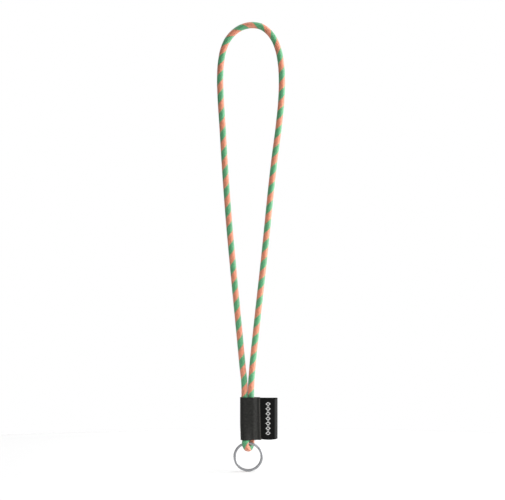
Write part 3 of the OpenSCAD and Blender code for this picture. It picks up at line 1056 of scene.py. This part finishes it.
class LANYARD_OT_webbing(bpy.types.Operator):
    """Fold the woven webbing round both legs of the cord"""
    bl_idname = "lanyard.webbing"
    bl_label = "Webbing label"

    def execute(self, context):
        label = context.scene.lanyard.label
        height = LABEL_TOP - LABEL_BOTTOM
        line = webbing_line(LABEL_TOP)
        length = float(np.linalg.norm(np.diff(line, axis=0), axis=1).sum())
        across = round(length / label.weave_pitch)
        up = round(height / label.weave_pitch)

        def place(u, v):
            points = np.zeros((len(u), 3))
            for level in np.unique(v.round(6)):
                at = np.abs(v - level) < 1e-5
                z = LABEL_BOTTOM + level * height
                spot, outward = even_on(webbing_line(z), u[at])
                cloth = plain_weave(u[at] * across, v[at] * up, label.weave_relief)
                beat = (z - SEAM_LOW.z) / label.stitch_pitch
                near = np.exp(-((spot[:, 0] - SEAM_X) / (0.55 * MM)) ** 2)
                pull = near * 0.1 * MM * (0.5 + 0.5 * math.cos(2 * math.pi * beat))
                end = ease((spot[:, 0] - SEAM_X) / (EDGE_X - SEAM_X))
                spot = spot + outward * (cloth - label.weave_relief - pull)[:, None]
                spot[:, 0] += end * 0.16 * MM * math.cos(2 * math.pi * beat)
                spot[:, 0] += seam_lean(spot[:, 0], z)
                points[at] = np.column_stack([spot, np.full(at.sum(), z)])
            return points

        webbing = grid_piece("webbing_label", across * 4, up * 4, place)
        weave_uv(webbing, length, height)
        give_wall(webbing, label.webbing_thickness, -1.0)
        smooth_by(webbing, 50)
        webbing.data.materials.append(webbing_material(label, length))
        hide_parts("webbing_wrap")
        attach(webbing, "label")
        return {"FINISHED"}


class LANYARD_OT_seam(bpy.types.Operator):
    """Sew the lockstitch row that closes the webbing on the flag"""
    bl_idname = "lanyard.seam"
    bl_label = "Edge seam"

    def execute(self, context):
        label = context.scene.lanyard.label
        bar = label.stitch_pitch - 0.55 * MM
        thread = 0.2 * MM
        bpy.ops.object.select_all(action="DESELECT")
        bpy.ops.mesh.primitive_circle_add(
            vertices=10, radius=thread, fill_type="NGON", location=(0, 0.35 * MM, -bar / 2))
        stitch = context.object
        bpy.ops.object.mode_set(mode="EDIT")
        rises = (-0.3, -0.22, -0.06, 0, 0.06, 0.22, 0.3)
        runs = (0.06, 0.12, 0.2, 0.24, 0.2, 0.12, 0.06)
        for rise, run in zip(rises, runs):
            bpy.ops.mesh.extrude_region_move(
                TRANSFORM_OT_translate={"value": (0, rise * MM, run * bar)})
        bpy.ops.mesh.select_all(action="SELECT")
        bpy.ops.mesh.normals_make_consistent(inside=False)
        bpy.ops.object.mode_set(mode="OBJECT")
        count = round((SEAM_HIGH.z - SEAM_LOW.z + 0.7 * MM) / label.stitch_pitch)
        top = (SEAM_HIGH.z + SEAM_LOW.z) / 2 + (count - 1) / 2 * label.stitch_pitch
        front = SEAM_LOW.y + 0.2 * MM
        rows = []
        for n in range(count):
            for side in (1, -1):
                copy = bpy.data.objects.new("stitch", stitch.data.copy())
                z = top - n * label.stitch_pitch
                copy.location = (SEAM_X + float(seam_lean(SEAM_X, z)), side * front, z)
                copy.rotation_euler = (0, 0, 0 if side > 0 else math.pi)
                context.scene.collection.objects.link(copy)
                rows.append(copy)
        seam = join_pieces(rows, "seam_stitches")
        bpy.data.objects.remove(stitch)
        thread_colour = (*label.thread_colour, 1.0)
        seam.data.materials.append(thread_material("polyester_seam_thread", thread_colour))
        smooth_by(seam, 60)
        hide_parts("seam_thread")
        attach(seam, "label")
        return {"FINISHED"}


def join_pieces(pieces, name):
    """Joins copies into one piece that sits at the origin, unturned and unscaled."""
    bpy.ops.object.select_all(action="DESELECT")
    for piece in pieces:
        piece.select_set(True)
    bpy.context.view_layer.objects.active = pieces[0]
    bpy.ops.object.join()
    joined = bpy.context.object
    bpy.ops.object.transform_apply(location=True, rotation=True, scale=True)
    joined.name = joined.data.name = name
    return joined


FOLD_REACH = 3.4 * MM
FLAG_HALF = FLAG_HIGH.y
# Along X: where the two layers stand fully apart, and the middle and half width of the belly
OPEN_X = 0.0145
BELLY_X = 0.0175
BELLY_HALF = 0.0091
# The curl's height, where along X it starts, how far it takes to grow, and its wavelength in Z
CURL = 0.3 * MM
CURL_FROM_X = 0.011
CURL_RUN = 0.012
CURL_WAVE = 0.062


def flag_half(x, satin):
    """Distance of each ribbon layer's middle from the flag's middle plane."""
    root = ROOT_HIGH.y - satin / 2
    open_half = FLAG_HALF - satin / 2
    spread = root + (open_half - root) * ease((x - ROOT_HIGH.x) / (OPEN_X - ROOT_HIGH.x))
    tip = FLAG_HIGH.x - satin / 2
    fold = np.clip((x - (tip - FOLD_REACH)) / FOLD_REACH, 0, 1)
    return spread * np.sqrt(1 - fold**2)


def flag_warp(x, z):
    """How far the whole flag curls off its plane, nothing at the seam."""
    wave = np.sin((z - FLAG_LOW.z) * 2 * np.pi / CURL_WAVE)
    return CURL * ease((x - CURL_FROM_X) / CURL_RUN) * wave


def flag_line(satin):
    """Ribbon's middle line, [x, y], from the seam round the fold and back."""
    tip = FLAG_HIGH.x - satin / 2
    straight = np.linspace(STRIP_X, tip - FOLD_REACH, 120)
    bend = tip - FOLD_REACH + FOLD_REACH * np.sin(np.linspace(0, np.pi / 2, 60))
    x = np.concatenate([straight, bend[1:]])
    front = np.stack([x, -flag_half(x, satin)], axis=1)
    return np.concatenate([front, (front * (1, -1))[-2::-1]])


class LANYARD_OT_flag(bpy.types.Operator):
    """Fold the satin ribbon flag and catch it in the seam"""
    bl_idname = "lanyard.flag"
    bl_label = "Satin flag"

    def execute(self, context):
        flag = context.scene.lanyard.flag
        satin = flag.satin_thickness
        line = flag_line(satin)
        length = float(np.linalg.norm(np.diff(line, axis=0), axis=1).sum())
        height = FLAG_HIGH.z - FLAG_LOW.z

        def place(u, v):
            spot = even_on(line, u)[0]
            x = spot[:, 0]
            belly = 1 - ((x - BELLY_X) / BELLY_HALF) ** 2
            corner = ease((x - (FLAG_HIGH.x - 1.6 * MM)) / (1.6 * MM)) * 0.5 * MM
            bottom = FLAG_LOW.z - 0.3 * MM + flag.belly * (1 - np.clip(belly, 0, 1)) + corner
            top = FLAG_HIGH.z - 0.35 * corner - 0.25 * MM * np.clip(belly, 0, 1) * 0.4
            z = bottom + v * (top - bottom)
            return np.stack([x, spot[:, 1] + flag_warp(x, z), z], axis=1)

        ribbon = grid_piece("satin_flag", 150, 84, place)
        weave_uv(ribbon, length, height)
        give_wall(ribbon, satin, 0.0)
        smooth_by(ribbon, 50)
        ribbon.data.materials.append(satin_material(flag, length))
        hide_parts("flag_root", "flag_label")
        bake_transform(ribbon)
        return {"FINISHED"}


class LANYARD_OT_mark(bpy.types.Operator):
    """Weave the plain ornament of diamonds and bars on the flag's face"""
    bl_idname = "lanyard.mark"
    bl_label = "Woven ornament"

    def execute(self, context):
        flag = context.scene.lanyard.flag
        middle = (MARK_LOW + MARK_HIGH) / 2
        half = (MARK_HIGH.x - MARK_LOW.x) / 2
        half_height = 1.9 * MM
        count = 7
        pitch = (MARK_HIGH.z - MARK_LOW.z - 2 * half_height) / (count - 1)
        line_pitch = 0.38 * MM
        stroke = 0.9 * MM
        bpy.ops.object.select_all(action="DESELECT")
        bpy.ops.mesh.primitive_cube_add(size=1, location=(0, 0, 0))
        thread = context.object
        thread.scale = (0.001, 0.2 * MM, line_pitch * 1.02)
        bpy.ops.object.transform_apply(location=False, rotation=False, scale=True)
        bpy.ops.object.mode_set(mode="EDIT")
        bpy.ops.mesh.bevel(offset=0.07 * MM, segments=2, affect="EDGES")
        bpy.ops.object.mode_set(mode="OBJECT")
        copies = []

        def add_float(x, z, width):
            face = -flag_half(np.array(x), flag.satin_thickness) - flag.satin_thickness / 2
            copy = bpy.data.objects.new("float", thread.data.copy())
            copy.location = (x, float(face) + float(flag_warp(x, z)), z)
            copy.scale = (width / 0.001, 1, 1)
            context.scene.collection.objects.link(copy)
            copies.append(copy)

        # Open diamonds, with one short float between neighbours
        for n in range(count):
            centre = middle.z + (n - (count - 1) / 2) * pitch
            for step in range(-4, 5):
                rise = step * line_pitch
                reach = half * (1 - abs(rise) / half_height) + 0.2 * MM
                if reach < stroke:
                    add_float(middle.x, centre + rise, 2 * reach)
                    continue
                for side in (-1, 1):
                    add_float(middle.x + side * (reach - stroke / 2), centre + rise, stroke)
            if n < count - 1:
                add_float(middle.x, centre + pitch / 2, half)
        mark = join_pieces(copies, "woven_ornament")
        bpy.data.objects.remove(thread)
        mark.data.materials.append(mark_material((*flag.mark_colour, 1.0)))
        smooth_by(mark, 40)
        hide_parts("flag_mark")
        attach(mark, "flag")
        return {"FINISHED"}


class LANYARD_OT_split_ring(bpy.types.Operator):
    """Coil the flat steel wire into the split ring"""
    bl_idname = "lanyard.split_ring"
    bl_label = "Split ring"

    def execute(self, context):
        ring = context.scene.lanyard.ring
        centre = (RING_LOW + RING_HIGH) / 2
        outer = (RING_HIGH.x - RING_LOW.x) / 2
        centre.z = RING_LOW.z + outer
        turn_y = RING_HIGH.y - ring.wire_thickness / 2
        end_gap = math.radians(3)
        step_degrees = 3
        first = ring.split_at + ring.split_span + end_gap
        total = 4 * math.pi - ring.split_span - 2 * end_gap
        steps = round(math.degrees(total) / step_degrees)
        reach = outer - ring.wire_width / 2

        # One slice of the wire, with rounded corners, spun through both turns
        bpy.ops.object.select_all(action="DESELECT")
        bpy.ops.mesh.primitive_plane_add(size=1)
        wire = context.object
        wire.scale = (ring.wire_width, ring.wire_thickness, 1)
        bpy.ops.object.transform_apply(location=False, rotation=False, scale=True)
        wire.location = (
            centre.x + reach * math.cos(first), 0, centre.z + reach * math.sin(first))
        wire.rotation_euler = (0, -first, 0)
        bpy.ops.object.transform_apply(location=True, rotation=True, scale=False)
        bpy.ops.object.mode_set(mode="EDIT")
        bpy.ops.mesh.select_all(action="SELECT")
        bpy.ops.mesh.bevel(offset=ring.edge_round, segments=4, affect="VERTICES")
        bpy.ops.object.mode_set(mode="OBJECT")
        slice_points = len(wire.data.vertices)
        bpy.ops.object.mode_set(mode="EDIT")
        bpy.ops.mesh.select_all(action="SELECT")
        bpy.ops.mesh.spin(
            steps=steps, angle=total, center=centre, axis=(0, 1, 0), use_auto_merge=False)
        bpy.ops.mesh.select_all(action="SELECT")
        bpy.ops.mesh.normals_make_consistent(inside=False)
        bpy.ops.object.mode_set(mode="OBJECT")

        points = np.empty(len(wire.data.vertices) * 3)
        wire.data.vertices.foreach_get("co", points)
        points = points.reshape(-1, 3)
        if len(points) != slice_points * (steps + 1):
            raise RuntimeError("the spun wire doesn't have one slice for each step")
        gone = (np.arange(len(points)) // slice_points) * total / steps + first
        seen = np.arctan2(points[:, 2] - centre.z, points[:, 0] - centre.x)
        if np.abs(np.sin((seen - gone) / 2)).max() > 0.02:
            raise RuntimeError("the spun wire's slices aren't in order")
        cross = ring.split_at + 2 * math.pi
        points[:, 1] += turn_y * (1 - 2 * ease((gone - cross) / ring.split_span))
        wire.data.vertices.foreach_set("co", points.ravel())
        wire.data.update()

        # Both free ends are tumbled round
        ends = [len(face.vertices) > 4 for face in wire.data.polygons]
        if sum(ends) != 2:
            raise RuntimeError("the wire should have two end faces")
        wire.data.polygons.foreach_set("select", ends)
        bpy.ops.object.mode_set(mode="EDIT")
        bpy.ops.mesh.select_mode(type="FACE")
        bpy.ops.mesh.bevel(offset=0.25 * MM, segments=3, affect="EDGES")
        bpy.ops.object.mode_set(mode="OBJECT")
        wire.name = wire.data.name = "coiled_ring"
        smooth_by(wire, 50)
        wire.data.materials.append(steel_material(ring))
        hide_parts("split_ring")
        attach(wire, "ring")
        return {"FINISHED"}


PIECES = (
    LANYARD_OT_stage, LANYARD_OT_neck_cord, LANYARD_OT_ring_loop, LANYARD_OT_inner_cord,
    LANYARD_OT_webbing, LANYARD_OT_seam, LANYARD_OT_flag, LANYARD_OT_mark,
    LANYARD_OT_split_ring,
)


class LANYARD_PT_pieces(bpy.types.Panel):
    """The lanyard's settings and pieces"""
    bl_idname = "LANYARD_PT_pieces"
    bl_label = "Lanyard"
    bl_space_type = "VIEW_3D"
    bl_region_type = "UI"
    bl_category = "Lanyard"

    def draw(self, context):
        settings = context.scene.lanyard
        for group in (settings.cord, settings.label, settings.flag, settings.ring, settings.stage):
            box = self.layout.box()
            for name in group.bl_rna.properties.keys():
                if name not in ("rna_type", "name"):
                    box.prop(group, name)
        for piece in PIECES:
            self.layout.operator(piece.bl_idname)


CLASSES = (
    LanyardCord, LanyardLabel, LanyardFlag, LanyardRing, LanyardStage, LanyardSettings,
    *PIECES, LANYARD_PT_pieces,
)


def register():
    for cls in CLASSES:
        bpy.utils.register_class(cls)
    bpy.types.Scene.lanyard = bpy.props.PointerProperty(type=LanyardSettings)


def unregister():
    del bpy.types.Scene.lanyard
    for cls in reversed(CLASSES):
        bpy.utils.unregister_class(cls)


def main():
    """Makes every piece in order."""
    register()
    bpy.ops.lanyard.stage()
    bpy.ops.lanyard.neck_cord()
    bpy.ops.lanyard.ring_loop()
    bpy.ops.lanyard.inner_cord()
    bpy.ops.lanyard.webbing()
    bpy.ops.lanyard.seam()
    bpy.ops.lanyard.flag()
    bpy.ops.lanyard.mark()
    bpy.ops.lanyard.split_ring()


if __name__ == "__main__":
    main()
